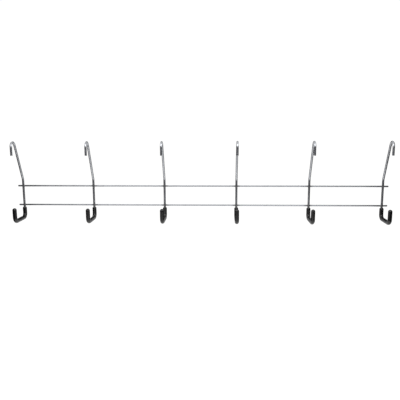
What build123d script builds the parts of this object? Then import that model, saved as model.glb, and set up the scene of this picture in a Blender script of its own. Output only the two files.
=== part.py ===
from build123d import *
import math
import os

# Welded wire tool hanger: bent hook wires on two cross rails, with a vinyl sleeve on each tool hook.
# Millimetres. +X runs along the rails, +Z is up, and the tool hooks open towards -Y.
# The origin is midway along the hanger, on the undersides of the crowns that go over its support.

# Driving dimensions of the welded grid
hook_count = 6
hook_pitch = 160.0  # between the axes of neighbouring hook wires
wire_diameter = 4.8
rail_diameter = 3.5
rail_spacing = 43.3  # between the axes of the two rails
rail_overhang = 13.0  # rail beyond the axis of an end wire
rail_end_chamfer = 0.4
weld_set_down = 0.5  # depth that a rail is pressed into the back of a wire
weld_collar = 5.0  # width of the metal squeezed out around a weld

# Driving dimensions of a hook wire: straight runs and the centre-line radii of its bends,
# from the lip over the crown, down the leaning leg and the spine, to the tip of the tool hook
crown_gap = 14.6  # clear width inside the crown
lip_run = 18.0
lean_angle = 23.3  # of the leaning leg from the vertical, in degrees
lean_run = 83.3
knee_radius = 12.0
knee_to_rail = 12.6  # from the end of the knee bend to the upper rail's axis
hook_radius = 9.8
hook_turn = 90.0  # of each bend of the tool hook, in degrees
floor_run = 36.0
tip_run = 17.2
wire_end_chamfer = 0.5

# Driving dimensions of a sleeve
sleeve_below_rail = 4.0  # from the lower rail's axis to the rim
sleeve_root_run = 13.8  # straight run from the rim to the first bend of the tool hook
sleeve_wall = 2.05
sleeve_clearance = 0.05  # between the sleeve's bore and the wire
sleeve_end_wall = 3.0  # closed end, beyond the wire's tip
sleeve_mouth_taper = 2.6  # height over which the outside rounds in to the rim
sleeve_mouth_wall = 0.35  # wall left at the rim

# Sizes and places that follow from these
wire_radius = wire_diameter / 2
rail_radius = rail_diameter / 2
sleeve_bore_radius = wire_radius + sleeve_clearance
sleeve_radius = sleeve_bore_radius + sleeve_wall
rail_length = (hook_count - 1) * hook_pitch + 2 * rail_overhang
hook_places = [(i - (hook_count - 1) / 2) * hook_pitch for i in range(hook_count)]

crown_radius = crown_gap / 2 + wire_radius
crown_centre_z = -crown_gap / 2
lean_sin = math.sin(math.radians(lean_angle))
lean_cos = math.cos(math.radians(lean_angle))
spine_y = crown_radius * lean_cos + lean_run * lean_sin + knee_radius * (1 - lean_cos)
knee_end_z = crown_centre_z + (crown_radius - knee_radius) * lean_sin - lean_run * lean_cos
upper_rail_z = knee_end_z - knee_to_rail
lower_rail_z = upper_rail_z - rail_spacing
sleeve_rim_z = lower_rail_z - sleeve_below_rail
spine_run = knee_end_z - sleeve_rim_z + sleeve_root_run
weld_y = spine_y + wire_radius - weld_set_down
rail_y = weld_y + rail_radius

up = Vector(0, 1)
down = Vector(0, -1)
crown_bend = (crown_radius, 180 - lean_angle)
knee_bend = (knee_radius, lean_angle)
hook_bend = (hook_radius, hook_turn)


def bent_path(start, heading, runs, bends):
    """Straight runs joined by tangent arcs that all turn clockwise, drawn as Y across and Z up."""
    leg = Line(start, start + heading * runs[0])
    path = Curve() + leg
    for (radius, turn), run in zip(bends, runs[1:]):
        bend = JernArc(leg @ 1, leg % 1, radius, -turn)
        leg = Line(bend @ 1, bend @ 1 + (bend % 1) * run)
        path += [bend, leg]
    return Plane.YZ * path


def bent_rod(radius, path):
    """Round rod along a path."""
    section = Plane(origin=path @ 0, z_dir=path % 0) * Circle(radius)
    return sweep(section, path=path)


def cross_rail(rail_z):
    """Straight rail along X behind the spines, with chamfered ends."""
    rail = Cylinder(rail_radius, rail_length, rotation=(0, 90, 0))
    ends = rail.edges().filter_by(GeomType.CIRCLE)
    return Pos(0, rail_y, rail_z) * chamfer(ends, rail_end_chamfer)


def hook_wire(rails):
    """One bent wire at x = 0, with a seat and a weld collar where each rail crosses its spine."""
    lip_end = Vector(-crown_radius, crown_centre_z - lip_run)
    runs = [lip_run, lean_run, spine_run, floor_run, tip_run]
    path = bent_path(lip_end, up, runs, [crown_bend, knee_bend, hook_bend, hook_bend])
    rod = bent_rod(wire_radius, path)
    wire = chamfer(rod.faces().filter_by(GeomType.PLANE).edges(), wire_end_chamfer)
    for rail_z in (upper_rail_z, lower_rail_z):
        wire += Pos(0, weld_y, rail_z) * Sphere(weld_collar / 2)
    for rail in rails:
        wire -= rail
    return wire


def sleeve_mouth():
    """Round mouth of a sleeve, standing on the XY plane: its outside is an arc that runs in to the rim."""
    rim_radius = sleeve_bore_radius + sleeve_mouth_wall
    shoulder = (sleeve_radius, 0)
    rim = (rim_radius, sleeve_mouth_taper)
    outside = TangentArc(shoulder, rim, tangent=(0, 1))
    inside = Polyline(rim, (0, sleeve_mouth_taper), (0, 0), shoulder)
    return revolve(Plane.XZ * make_face([outside, inside]), Axis.Z)


def hook_sleeve():
    """Closed sleeve at x = 0 over the tool hook, with a rounded mouth and a domed end."""
    rim = Vector(spine_y, sleeve_rim_z)
    shoulder = rim + down * sleeve_mouth_taper
    bends = [hook_bend, hook_bend]
    dome_run = tip_run + sleeve_clearance + sleeve_end_wall - sleeve_radius
    outside_runs = [sleeve_root_run - sleeve_mouth_taper, floor_run, dome_run]
    outside_path = bent_path(shoulder, down, outside_runs, bends)
    bore_path = bent_path(rim, down, [sleeve_root_run, floor_run, tip_run + sleeve_clearance], bends)
    on_its_base = (Align.CENTER, Align.CENTER, Align.MIN)
    end_plane = Plane(origin=outside_path @ 1, z_dir=outside_path % 1)
    dome = end_plane * Sphere(sleeve_radius, arc_size1=0, align=on_its_base)
    mouth = Pos(0, shoulder.X, shoulder.Y) * sleeve_mouth()
    sleeve = mouth + bent_rod(sleeve_radius, outside_path) + dome
    return sleeve - bent_rod(sleeve_bore_radius, bore_path)


upper_rail = cross_rail(upper_rail_z)
lower_rail = cross_rail(lower_rail_z)
wire_at_middle = hook_wire([upper_rail, lower_rail])
sleeve_at_middle = hook_sleeve()

nodes = {"upper_rail": upper_rail, "lower_rail": lower_rail}
for number, hook_x in enumerate(hook_places, start=1):
    nodes[f"hanger_wire_{number}"] = Pos(hook_x, 0, 0) * wire_at_middle
    nodes[f"hook_sleeve_{number}"] = Pos(hook_x, 0, 0) * sleeve_at_middle

os.makedirs("parts", exist_ok=True)
for name, solid in nodes.items():
    export_step(solid, f"parts/{name}.step")
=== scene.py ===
import math

import bmesh
import bpy
from mathutils import Matrix, Vector, noise


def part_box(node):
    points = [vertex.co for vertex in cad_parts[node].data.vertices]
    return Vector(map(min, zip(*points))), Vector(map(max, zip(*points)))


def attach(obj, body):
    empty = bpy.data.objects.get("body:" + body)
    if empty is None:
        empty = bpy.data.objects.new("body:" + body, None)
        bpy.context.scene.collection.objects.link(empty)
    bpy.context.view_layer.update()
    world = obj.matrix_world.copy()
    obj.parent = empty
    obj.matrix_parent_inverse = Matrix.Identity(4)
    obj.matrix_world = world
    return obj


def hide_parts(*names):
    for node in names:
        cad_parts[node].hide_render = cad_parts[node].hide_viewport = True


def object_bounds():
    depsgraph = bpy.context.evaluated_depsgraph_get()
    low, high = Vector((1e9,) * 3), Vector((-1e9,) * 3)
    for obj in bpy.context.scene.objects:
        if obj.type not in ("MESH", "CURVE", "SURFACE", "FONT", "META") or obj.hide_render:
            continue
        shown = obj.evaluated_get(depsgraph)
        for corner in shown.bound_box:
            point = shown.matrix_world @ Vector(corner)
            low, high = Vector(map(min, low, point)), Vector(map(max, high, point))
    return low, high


# Welded wire tool hanger: bright plated wires and rails, with a black vinyl sleeve on each tool hook.
# Metres, in the hanger's own frame: +X along the rails, +Z up, and the tool hooks open towards -Y.
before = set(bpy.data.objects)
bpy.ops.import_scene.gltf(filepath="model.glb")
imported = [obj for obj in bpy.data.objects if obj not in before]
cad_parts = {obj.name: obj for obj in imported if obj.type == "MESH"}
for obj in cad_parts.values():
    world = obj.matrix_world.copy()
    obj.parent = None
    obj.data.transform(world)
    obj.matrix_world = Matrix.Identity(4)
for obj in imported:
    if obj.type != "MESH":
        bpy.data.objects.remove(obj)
cad_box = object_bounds()

MM = 0.001
RAILS = ("upper_rail", "lower_rail")
HOOK_COUNT = sum(name.startswith("hanger_wire_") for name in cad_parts)
HOOKS = range(1, HOOK_COUNT + 1)

# Sizes that the frame's boxes don't give
WIRE_RADIUS = 2.4 * MM
RAIL_SET_DOWN = 0.5 * MM  # depth that a rail is pressed into the back of a wire
HOOK_BEND = 9.8 * MM  # centre-line radius of the tool hook's bends
SLEEVE_BELOW_RAIL = 4.0 * MM  # from the lower rail's axis to the sleeve's rim
BORE_RADIUS = 2.45 * MM
BORE_END_WALL = 3.0 * MM
MOUTH_TAPER = 2.6 * MM  # height over which the sleeve's outside rounds in to its rim
MOUTH_WALL = 0.35 * MM  # wall left at the rim


def middle(node):
    """Middle of a CAD node's box."""
    low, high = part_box(node)
    return (low + high) / 2


# Sizes and places from the frame. Those of a tool hook's spine, tip and floor are of its centre line
sleeve_low, sleeve_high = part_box("hook_sleeve_1")
SLEEVE_RADIUS = (sleeve_high.x - sleeve_low.x) / 2
SPINE_Y = sleeve_high.y - SLEEVE_RADIUS
TIP_Y = sleeve_low.y + SLEEVE_RADIUS
HOOK_FLOOR_Z = sleeve_low.z + SLEEVE_RADIUS
SLEEVE_TOP = sleeve_high.z
RAIL_Z = [middle(rail).z for rail in RAILS]
RIM_Z = RAIL_Z[1] - SLEEVE_BELOW_RAIL
WELD_Y = SPINE_Y + WIRE_RADIUS - RAIL_SET_DOWN
HOOK_X = [middle(f"hook_sleeve_{number}").x for number in HOOKS]
HOOK_PITCH = HOOK_X[1] - HOOK_X[0]


# Materials

# The two tones that each finish varies between
WIRE_TONES = ("#a8aaae", "#b4b6ba")
RAIL_TONES = ("#93959a", "#9fa1a5")
FLASH_TONES = ("#68686a", "#8c8c8e")
VINYL_TONES = ("#060607", "#0c0c0d")

# Sizes of the finishes' patterns, in millimetres
DIE_LINE = 0.3
PLATE_CLOUD = 9.0
FLASH_PIT = 0.5
ORANGE_PEEL = 0.8
RUBBED_PATCH = 6.0

LINE_STRETCH = 0.02  # scale of the die lines along a wire, against 1 across it
WELD_SHADE_TONE = "#6c6c6e"  # painted shade where the wires cross the rails, darker than the plate's own tone
WELD_SHADE_SHARE = 0.85  # share of that painted shade at the weld
HEAT_ROUGHNESS = 0.16  # roughness that the plate near a weld adds to its own
SHADE_AND_DULL_FULL = 3.0 * MM  # distance from the weld up to which the plate is fully darkened by painted shade and dulled
SHADE_AND_DULL_GONE = 10.0 * MM  # distance from which it is clean

# Most values of a noise texture lie between these
NOISE_LOW = 0.3
NOISE_HIGH = 0.7

# Sockets of a Mix node for colours. They go by number because their names repeat
MIX_SHARE, MIX_FIRST, MIX_SECOND = 0, 6, 7
MIXED = 2


def linear(colour):
    """sRGB hex colour as linear red, green, blue and alpha."""
    channels = [int(colour[i:i + 2], 16) / 255 for i in (1, 3, 5)]
    return [c / 12.92 if c <= 0.04045 else ((c + 0.055) / 1.055) ** 2.4 for c in channels] + [1.0]


def grain(size):
    """Noise scale that gives features of that size in millimetres."""
    return 1 / (size * MM)


def add(tree, kind, inputs, **settings):
    """Adds a node with its own settings. An input is a value, or the socket that feeds it."""
    node = tree.nodes.new(kind)
    for name, value in settings.items():
        setattr(node, name, value)
    for name, value in inputs.items():
        if isinstance(value, bpy.types.NodeSocket):
            tree.links.new(value, node.inputs[name])
        else:
            node.inputs[name].default_value = value
    return node


def blank_material(name):
    """New material, and its empty node tree."""
    material = bpy.data.materials.new(name)
    material.use_nodes = True
    material.node_tree.nodes.clear()
    return material, material.node_tree


def distance_down_spine(tree, place):
    """Distance up or down a hook wire to its nearer weld."""
    height = add(tree, "ShaderNodeSeparateXYZ", {0: place}).outputs["Z"]
    gaps = []
    for rail_z in RAIL_Z:
        offset = add(tree, "ShaderNodeMath", {0: height, 1: rail_z}, operation="SUBTRACT").outputs[0]
        gaps.append(add(tree, "ShaderNodeMath", {0: offset}, operation="ABSOLUTE").outputs[0])
    return add(tree, "ShaderNodeMath", {0: gaps[0], 1: gaps[1]}, operation="MINIMUM").outputs[0]


def distance_along_rail(tree, place):
    """Distance along a rail to the nearest hook wire."""
    along = add(tree, "ShaderNodeSeparateXYZ", {0: place}).outputs["X"]
    from_first = add(tree, "ShaderNodeMath", {0: along, 1: HOOK_X[0]}, operation="SUBTRACT").outputs[0]
    return add(tree, "ShaderNodeMath", {0: from_first, 1: HOOK_PITCH / 2}, operation="PINGPONG").outputs[0]


def bright_zinc_plate(name, tones, stretch, weld_distance):
    """Bright zinc plate on cold-drawn steel wire: a pale, faintly blue mirror, softened by the lengthwise
    lines that the drawing die leaves, a little cloudy, and duller close to each weld, where painted shade
    also darkens it."""
    material, tree = blank_material(name)
    place = add(tree, "ShaderNodeTexCoord", {}).outputs["Object"]

    # Real die lines are about 0.05 mm apart. They are drawn coarser, so that they show close up
    drawn = add(tree, "ShaderNodeMapping", {"Vector": place, "Scale": stretch}).outputs[0]
    lines = add(tree, "ShaderNodeTexNoise", {
        "Vector": drawn, "Scale": grain(DIE_LINE), "Detail": 3.0}).outputs[0]
    cloud = add(tree, "ShaderNodeTexNoise", {
        "Vector": place, "Scale": grain(PLATE_CLOUD), "Detail": 4.0}).outputs[0]
    # Painted shade where wire and rail meet: this share darkens the tone towards each weld, where the plate
    # is also rougher
    weld_shade_and_dulling = add(tree, "ShaderNodeMapRange", {
        "Value": weld_distance(tree, place), "From Min": SHADE_AND_DULL_FULL, "From Max": SHADE_AND_DULL_GONE,
        "To Min": WELD_SHADE_SHARE, "To Max": 0.0}, interpolation_type="SMOOTHSTEP").outputs[0]

    clean = add(tree, "ShaderNodeMix", {
        MIX_SHARE: cloud, MIX_FIRST: linear(tones[0]), MIX_SECOND: linear(tones[1]),
    }, data_type="RGBA").outputs[MIXED]
    # Painted shade: the plate's tone is mixed towards a dark grey close to each weld
    colour = add(tree, "ShaderNodeMix", {
        MIX_SHARE: weld_shade_and_dulling, MIX_FIRST: clean, MIX_SECOND: linear(WELD_SHADE_TONE),
    }, data_type="RGBA").outputs[MIXED]
    polish = add(tree, "ShaderNodeMapRange", {
        "Value": lines, "From Min": NOISE_LOW, "From Max": NOISE_HIGH,
        "To Min": 0.20, "To Max": 0.30}).outputs[0]
    rough = add(tree, "ShaderNodeMath", {
        0: weld_shade_and_dulling, 1: HEAT_ROUGHNESS, 2: polish}, operation="MULTIPLY_ADD").outputs[0]
    relief = add(tree, "ShaderNodeBump", {
        "Height": lines, "Strength": 0.1, "Distance": 0.02 * MM}).outputs[0]
    shader = add(tree, "ShaderNodeBsdfPrincipled", {
        "Base Color": colour, "Metallic": 1.0, "Roughness": rough, "Normal": relief}).outputs[0]
    add(tree, "ShaderNodeOutputMaterial", {"Surface": shader})
    return material


def plated_weld_flash():
    """Zinc plate over squeezed-out weld metal: greyer and duller than the wire, on a pitted, lumpy skin."""
    material, tree = blank_material("zinc plate on weld flash")
    place = add(tree, "ShaderNodeTexCoord", {}).outputs["Object"]
    pits = add(tree, "ShaderNodeTexNoise", {
        "Vector": place, "Scale": grain(FLASH_PIT), "Detail": 5.0}).outputs[0]
    colour = add(tree, "ShaderNodeMix", {
        MIX_SHARE: pits, MIX_FIRST: linear(FLASH_TONES[0]), MIX_SECOND: linear(FLASH_TONES[1]),
    }, data_type="RGBA").outputs[MIXED]
    rough = add(tree, "ShaderNodeMapRange", {"Value": pits, "To Min": 0.50, "To Max": 0.32}).outputs[0]
    relief = add(tree, "ShaderNodeBump", {
        "Height": pits, "Strength": 0.6, "Distance": 0.12 * MM}).outputs[0]
    shader = add(tree, "ShaderNodeBsdfPrincipled", {
        "Base Color": colour, "Metallic": 1.0, "Roughness": rough, "Normal": relief}).outputs[0]
    add(tree, "ShaderNodeOutputMaterial", {"Surface": shader})
    return material


def soft_black_vinyl():
    """Soft PVC, dip moulded: near black, with a satin skin of fine orange peel, unevenly polished by use."""
    material, tree = blank_material("soft black PVC, dip moulded")
    place = add(tree, "ShaderNodeTexCoord", {}).outputs["Object"]
    peel = add(tree, "ShaderNodeTexNoise", {
        "Vector": place, "Scale": grain(ORANGE_PEEL), "Detail": 2.0}).outputs[0]
    rubbed = add(tree, "ShaderNodeTexNoise", {
        "Vector": place, "Scale": grain(RUBBED_PATCH), "Detail": 4.0}).outputs[0]
    colour = add(tree, "ShaderNodeMix", {
        MIX_SHARE: rubbed, MIX_FIRST: linear(VINYL_TONES[0]), MIX_SECOND: linear(VINYL_TONES[1]),
    }, data_type="RGBA").outputs[MIXED]
    rough = add(tree, "ShaderNodeMapRange", {
        "Value": rubbed, "From Min": NOISE_LOW, "From Max": NOISE_HIGH,
        "To Min": 0.20, "To Max": 0.32}).outputs[0]
    relief = add(tree, "ShaderNodeBump", {
        "Height": peel, "Strength": 0.2, "Distance": 0.05 * MM}).outputs[0]
    shader = add(tree, "ShaderNodeBsdfPrincipled", {
        "Base Color": colour, "Roughness": rough, "IOR": 1.50, "Normal": relief}).outputs[0]
    add(tree, "ShaderNodeOutputMaterial", {"Surface": shader})
    return material


# Sleeves

# Runs along the centre line of a tool hook, from the sleeve's rim
BEND_RUN = HOOK_BEND * math.pi / 2
ROOT_RUN = RIM_Z - HOOK_FLOOR_Z - HOOK_BEND
FLOOR_RUN = SPINE_Y - TIP_Y - 2 * HOOK_BEND
TIP_RUN = SLEEVE_TOP - SLEEVE_RADIUS - HOOK_FLOOR_Z - HOOK_BEND  # up to the start of the dome
BEND_STARTS = (ROOT_RUN, ROOT_RUN + BEND_RUN + FLOOR_RUN)
OUTSIDE_RUN = BEND_STARTS[1] + BEND_RUN + TIP_RUN
BORE_RUN = OUTSIDE_RUN + SLEEVE_RADIUS - BORE_END_WALL

# Length of each stretch of the hook, and whether it bends. The last goes on past the tip
HOOK_STRETCHES = (
    (ROOT_RUN, False), (BEND_RUN, True), (FLOOR_RUN, False), (BEND_RUN, True), (math.inf, False))
ACROSS = Vector((1, 0, 0))  # square to the plane that the hook is bent in

PUCKERS = 4  # inside each bend
PUCKER_DEPTH = 0.16 * MM
SKIN_WAVE = 0.09 * MM  # depth of the skin's slow unevenness
SKIN_WAVE_LENGTH = 9 * MM
RIM_WAVE = 0.35 * MM  # that the rim strays from a level ring
RING_POINTS = 48
RING_STEP = 0.6 * MM  # between the rings of the outside
BORE_STEP = 2 * RING_STEP
DOME_RINGS = 14


def facing(turned):
    """Heading and inward direction of the tool hook, where it has turned that far from straight down."""
    heading = Vector((0, -math.sin(turned), -math.cos(turned)))
    inward = Vector((0, -math.cos(turned), math.sin(turned)))
    return heading, inward


def along_hook(run):
    """Centre point, heading and inward direction of the tool hook, at a run along it from the rim."""
    point = Vector((0, SPINE_Y, RIM_Z))
    turned = 0.0
    for length, bends in HOOK_STRETCHES:
        step = min(run, length)
        heading, inward = facing(turned)
        if bends:
            centre = point + inward * HOOK_BEND
            turned += step / HOOK_BEND
            heading, inward = facing(turned)
            point = centre - inward * HOOK_BEND
        else:
            point = point + heading * step
        run -= step
        if run <= 0:
            break
    return point, heading, inward


def mouth_radius(run):
    """Outside radius near the rim: an arc from the rim out to the full sleeve."""
    inset = SLEEVE_RADIUS - BORE_RADIUS - MOUTH_WALL
    arc = (MOUTH_TAPER ** 2 + inset ** 2) / (2 * inset)
    short = max(MOUTH_TAPER - run, 0.0)
    return SLEEVE_RADIUS - arc + math.sqrt(arc ** 2 - short ** 2)


def skin_dip(run, angle, phase):
    """How far the skin lies inside its true radius: soft puckers inside each bend, and a slow unevenness."""
    wave = noise.noise((math.cos(angle), math.sin(angle), run / SKIN_WAVE_LENGTH + phase))
    dip = SKIN_WAVE * (0.5 + 0.5 * wave)
    for start in BEND_STARTS:
        share = (run - start) / BEND_RUN
        if 0 < share < 1:
            inside = max(math.cos(angle), 0.0) ** 2
            folds = 0.5 - 0.5 * math.cos(2 * math.pi * PUCKERS * share)
            dip += PUCKER_DEPTH * inside * folds * math.sin(math.pi * share)
    return dip


def sleeve_ring(phase, run, radius, rim_wave=0.0, ahead=0.0, skin=True):
    """Ring of points around the tool hook, uneven along it by rim_wave, and moved straight on by ahead."""
    points = []
    for i in range(RING_POINTS):
        angle = 2 * math.pi * i / RING_POINTS
        late = rim_wave * (0.5 + 0.5 * math.sin(2 * angle + phase) * math.cos(angle - phase))
        point, heading, inward = along_hook(run + late)
        dip = skin_dip(run, angle, phase) if skin else 0.0
        spoke = inward * math.cos(angle) + ACROSS * math.sin(angle)
        points.append(point + heading * ahead + spoke * (radius - dip))
    return points


def sleeve_rings(phase):
    """Rings of one sleeve at x = 0: along the bore to the rim, then back along the outside, over the dome."""
    rings = []
    bore_steps = math.ceil(BORE_RUN / BORE_STEP)
    for i in range(bore_steps, -1, -1):
        run = BORE_RUN * i / bore_steps
        rim_wave = RIM_WAVE * max(1 - run / MOUTH_TAPER, 0.0)
        rings.append(sleeve_ring(phase, run, BORE_RADIUS, rim_wave, skin=False))
    outside_steps = math.ceil(OUTSIDE_RUN / RING_STEP)
    for i in range(outside_steps + 1):
        run = OUTSIDE_RUN * i / outside_steps
        rim_wave = RIM_WAVE * max(1 - run / (2 * MOUTH_TAPER), 0.0)
        rings.append(sleeve_ring(phase, run, mouth_radius(run), rim_wave))
    for i in range(1, DOME_RINGS):
        turn = math.pi / 2 * i / DOME_RINGS
        ahead = SLEEVE_RADIUS * math.sin(turn)
        rings.append(sleeve_ring(phase, OUTSIDE_RUN, SLEEVE_RADIUS * math.cos(turn), ahead=ahead))
    return rings


def sleeve_mesh(name, phase):
    """Closed shell of one sleeve at x = 0: the bore for the wire, and the outside from rim to domed end."""
    rings = sleeve_rings(phase)
    points = [point for ring in rings for point in ring]
    bore_end, _, _ = along_hook(BORE_RUN)
    dome_start, heading, _ = along_hook(OUTSIDE_RUN)
    points += [bore_end, dome_start + heading * SLEEVE_RADIUS]

    # Faces name their corners by number in that list. Its last two points close the bore and the dome
    last_ring = (len(rings) - 1) * RING_POINTS
    bore_cap = last_ring + RING_POINTS
    dome_cap = bore_cap + 1
    neighbours = [(i, (i + 1) % RING_POINTS) for i in range(RING_POINTS)]
    faces = []
    for near in range(0, last_ring, RING_POINTS):
        far = near + RING_POINTS
        faces += [(near + i, far + i, far + j, near + j) for i, j in neighbours]
    for i, j in neighbours:
        faces += [(i, j, bore_cap), (last_ring + j, last_ring + i, dome_cap)]
    mesh = bpy.data.meshes.new(name)
    mesh.from_pydata(points, [], faces)
    mesh.shade_smooth()
    return mesh


# Welds

FLASH_SIZE = Vector((3.7, 1.3, 2.8)) * MM  # half sizes along X, Y and Z
FLASH_LUMPS = 1.1 * MM  # size of the lumps on it
FLASH_FULLNESS = 0.9  # share of its half sizes that it has between lumps and hollows
LUMP_HEIGHT = 0.16  # of the lumps, as a share of its half sizes
LUMP_DETAIL = (1.0, 2.0, 3)  # how fast finer lumps fade, how much finer each kind is, and how many kinds


def weld_flash_mesh(name, at):
    """Thin lumpy collar of metal, squeezed out where a rail was pressed into the back of a wire."""
    ball = bmesh.new()
    bmesh.ops.create_icosphere(ball, subdivisions=4, radius=1)
    for vert in ball.verts:
        spot = Vector(a * b for a, b in zip(vert.co, FLASH_SIZE))
        lump = noise.fractal((spot + at) / FLASH_LUMPS, *LUMP_DETAIL)
        vert.co = spot * (FLASH_FULLNESS + LUMP_HEIGHT * lump)
    mesh = bpy.data.meshes.new(name)
    ball.to_mesh(mesh)
    ball.free()
    mesh.shade_smooth()
    return mesh


# The dressed hanger

def place_piece(mesh, at, material):
    """Puts a mesh into the scene as a piece of the hanger."""
    piece = bpy.data.objects.new(mesh.name, mesh)
    piece.location = at
    mesh.materials.append(material)
    bpy.context.scene.collection.objects.link(piece)
    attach(piece, "root")
    return piece


def dress_hanger():
    """Gives the wires and rails their finish, and adds the sleeves and the weld flash."""
    along_wire = (1.0, LINE_STRETCH, LINE_STRETCH)
    along_rail = (LINE_STRETCH, 1.0, 1.0)
    wire_plate = bright_zinc_plate(
        "bright zinc plate on bent wire", WIRE_TONES, along_wire, distance_down_spine)
    rail_plate = bright_zinc_plate(
        "bright zinc plate on rail", RAIL_TONES, along_rail, distance_along_rail)
    flash = plated_weld_flash()
    vinyl = soft_black_vinyl()
    for rail in RAILS:
        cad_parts[rail].material_slots[0].material = rail_plate
    for number, x in zip(HOOKS, HOOK_X):
        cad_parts[f"hanger_wire_{number}"].material_slots[0].material = wire_plate
        sleeve = place_piece(sleeve_mesh(f"vinyl_sleeve_{number}", number), (x, 0, 0), vinyl)
        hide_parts(f"hook_sleeve_{number}")
        for rail, rail_z in zip(RAILS, RAIL_Z):
            at = Vector((x, WELD_Y, rail_z))
            place_piece(weld_flash_mesh(f"weld_flash_{number}_{rail}", at), at, flash)


# Studio

EYE_WHITE = 1.03  # strength of the surroundings that the eye sees
FILL = 0.3  # strength of their light on the hanger
FLOOR_DROP = 0.85  # of the floor below the hanging hanger
FLOOR_SIZE = 40.0
FLOOR_GLOW = 0.86  # that brings the lit floor up to white
LIT_SPOT = (0, 0, -0.05)  # that the soft boxes point at
SIDE_BOX_X = 1.9  # of the left and right soft boxes from the middle

# Walls of the room
SIDE_WALL_X = 1.3
END_WALL_Y = 2.2  # of the front and back walls from the middle
WALL_FOOT = -1.0
FRONT_WALL_TOP = 0.5
SIDE_WALL_TOP = 0.06
SIDE_WALL_GREY = "#3c3c3e"
PALE_BACK_TOP = 0.3
DARK_BACK_TOP = 1.6

# Card close to each end of the hanger
CARD_X = 0.455  # just beyond the rails' ends
CARD_FRONT = -0.6
CARD_BACK = 0.3
CARD_FOOT = -0.27
CARD_TOP = 0.1

# Low board in front of the tool hooks, in three stretches
BOARD_Y = -0.12
BOARD_FOOT = -0.25
BOARD_TOP = -0.17
BOARD_MIDDLE = 0.285  # half length of its white middle, which leaves out the end hooks
BOARD_ENDS = (-CARD_X, -BOARD_MIDDLE, BOARD_MIDDLE, CARD_X)
BOARD_COLOURS = {"left": "#060607", "middle": "#ffffff", "right": "#060607"}


def seen_ray(tree):
    """1 for the rays that show the studio to the eye, straight or in a reflection, and 0 for those that
    light the hanger."""
    rays = add(tree, "ShaderNodeLightPath", {}).outputs
    mirrored = add(tree, "ShaderNodeMath", {
        0: rays["Is Glossy Ray"], 1: rays["Is Transmission Ray"]}, operation="MAXIMUM").outputs[0]
    return add(tree, "ShaderNodeMath", {
        0: rays["Is Camera Ray"], 1: mirrored}, operation="MAXIMUM").outputs[0]


def white_surroundings():
    """World: white to the eye, and a plain even fill for the light."""
    world = bpy.data.worlds.new("white surroundings")
    bpy.context.scene.world = world
    world.use_nodes = True
    tree = world.node_tree
    tree.nodes.clear()
    white = linear("#ffffff")
    fill = add(tree, "ShaderNodeBackground", {"Color": white, "Strength": FILL}).outputs[0]
    shown = add(tree, "ShaderNodeBackground", {"Color": white, "Strength": EYE_WHITE}).outputs[0]
    both = add(tree, "ShaderNodeMixShader", {0: seen_ray(tree), 1: fill, 2: shown}).outputs[0]
    add(tree, "ShaderNodeOutputWorld", {"Surface": both})


def flat_sheet(name, corners, material):
    """One flat sheet of the studio."""
    mesh = bpy.data.meshes.new(name)
    mesh.from_pydata(corners, [], [(0, 1, 2, 3)])
    mesh.materials.append(material)
    sheet = bpy.data.objects.new(name, mesh)
    bpy.context.scene.collection.objects.link(sheet)
    return sheet


def pale_floor():
    """Matt white floor that takes the hanger's shadow. A pale glow that only the eye sees makes it white."""
    material, tree = blank_material("matt white floor")
    matt = add(tree, "ShaderNodeBsdfDiffuse", {"Color": linear("#c8c8c6")}).outputs[0]
    lift = add(tree, "ShaderNodeMath", {0: seen_ray(tree), 1: FLOOR_GLOW}, operation="MULTIPLY").outputs[0]
    glow = add(tree, "ShaderNodeEmission", {"Color": linear("#ffffff"), "Strength": lift}).outputs[0]
    both = add(tree, "ShaderNodeAddShader", {0: matt, 1: glow}).outputs[0]
    add(tree, "ShaderNodeOutputMaterial", {"Surface": both})
    low = cad_box[0].z - FLOOR_DROP
    half = FLOOR_SIZE / 2
    corners = [(-half, -half, low), (half, -half, low), (half, half, low), (-half, half, low)]
    flat_sheet("floor", corners, material)


def upright_panel(name, start, end, heights, colour):
    """Upright panel from one point of the plan to another. Only the bright metal and the vinyl show it."""
    material, tree = blank_material(f"{name} paint")
    paint = add(tree, "ShaderNodeEmission", {"Color": linear(colour), "Strength": 1.0}).outputs[0]
    add(tree, "ShaderNodeOutputMaterial", {"Surface": paint})
    low, high = heights
    panel = flat_sheet(name, [(*start, low), (*end, low), (*end, high), (*start, high)], material)
    panel.visible_camera = False
    panel.visible_diffuse = False
    panel.visible_transmission = False
    panel.visible_shadow = False


def grey_room():
    """Walls around the hanger, outside the picture. The floors of the tool hooks show the back wall, which
    is pale below, to light their undersides, and dark above."""
    front_left = (-SIDE_WALL_X, -END_WALL_Y)
    front_right = (SIDE_WALL_X, -END_WALL_Y)
    back_left = (-SIDE_WALL_X, END_WALL_Y)
    back_right = (SIDE_WALL_X, END_WALL_Y)
    upright_panel("front_wall", front_left, front_right, (WALL_FOOT, FRONT_WALL_TOP), "#848486")
    upright_panel("right_wall", front_right, back_right, (WALL_FOOT, SIDE_WALL_TOP), SIDE_WALL_GREY)
    upright_panel("left_wall", back_left, front_left, (WALL_FOOT, SIDE_WALL_TOP), SIDE_WALL_GREY)
    upright_panel("pale_back_wall", back_right, back_left, (WALL_FOOT, PALE_BACK_TOP), "#c8c8ca")
    upright_panel("dark_back_wall", back_right, back_left, (PALE_BACK_TOP, DARK_BACK_TOP), "#202022")


def end_cards():
    """Dark grey card close to each end, which darkens the end hooks and the ends of the rails."""
    for name, x in (("right_card", CARD_X), ("left_card", -CARD_X)):
        upright_panel(name, (x, CARD_FRONT), (x, CARD_BACK), (CARD_FOOT, CARD_TOP), "#4c4c4e")


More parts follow.
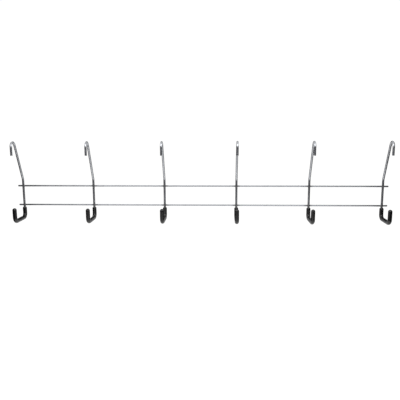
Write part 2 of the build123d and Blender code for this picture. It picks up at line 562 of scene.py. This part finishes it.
def low_board():
    """Board that shows in the sleeves and the leaning legs: white in the middle and dark at its ends."""
    heights = (BOARD_FOOT, BOARD_TOP)
    for (part, colour), start, end in zip(BOARD_COLOURS.items(), BOARD_ENDS, BOARD_ENDS[1:]):
        upright_panel(f"{part}_board", (start, BOARD_Y), (end, BOARD_Y), heights, colour)


def soft_box(name, at, size, power):
    """Square soft lamp that points at the hanger."""
    lamp = bpy.data.lights.new(name, "AREA")
    lamp.size = size
    lamp.energy = power
    light = bpy.data.objects.new(name, lamp)
    light.location = at
    light.rotation_euler = (Vector(LIT_SPOT) - Vector(at)).to_track_quat("-Z", "Y").to_euler()
    light.visible_camera = False
    bpy.context.scene.collection.objects.link(light)


def light_studio():
    """White surroundings, a pale floor and three soft boxes, with panels for the metal to show."""
    white_surroundings()
    pale_floor()
    grey_room()
    end_cards()
    low_board()
    soft_box("front_soft_box", at=(0.0, -1.5, 1.15), size=1.5, power=15.5)
    for name, x in (("left_soft_box", -SIDE_BOX_X), ("right_soft_box", SIDE_BOX_X)):
        soft_box(name, at=(x, -0.7, 0.95), size=1.8, power=20.0)


# Camera, as it stands in the photograph

CAMERA_PLACE = (0.04462, -1.03093, 0.0556)
CAMERA_TURN = math.radians(2.43)  # to the left of straight ahead
CAMERA_TILT = math.radians(9.71)  # downwards
CAMERA_ROLL = math.radians(-0.22)
CAMERA_LENS = 43.9  # in millimetres, as is the sensor
CAMERA_SENSOR = 36.0


def stand_camera():
    """Camera in front of the hanger, right of its middle and a little above its crowns."""
    data = bpy.data.cameras.new("camera")
    data.lens = CAMERA_LENS
    data.sensor_width = CAMERA_SENSOR
    data.dof.use_dof = False
    camera = bpy.data.objects.new("camera", data)
    turn = Matrix.Rotation(CAMERA_TURN, 4, "Z")
    tilt = Matrix.Rotation(math.pi / 2 - CAMERA_TILT, 4, "X")
    roll = Matrix.Rotation(CAMERA_ROLL, 4, "Z")
    camera.matrix_world = Matrix.Translation(CAMERA_PLACE) @ turn @ tilt @ roll
    bpy.context.scene.collection.objects.link(camera)
    bpy.context.scene.camera = camera


dress_hanger()
light_studio()
stand_camera()
bpy.context.scene.view_settings.view_transform = "Standard"
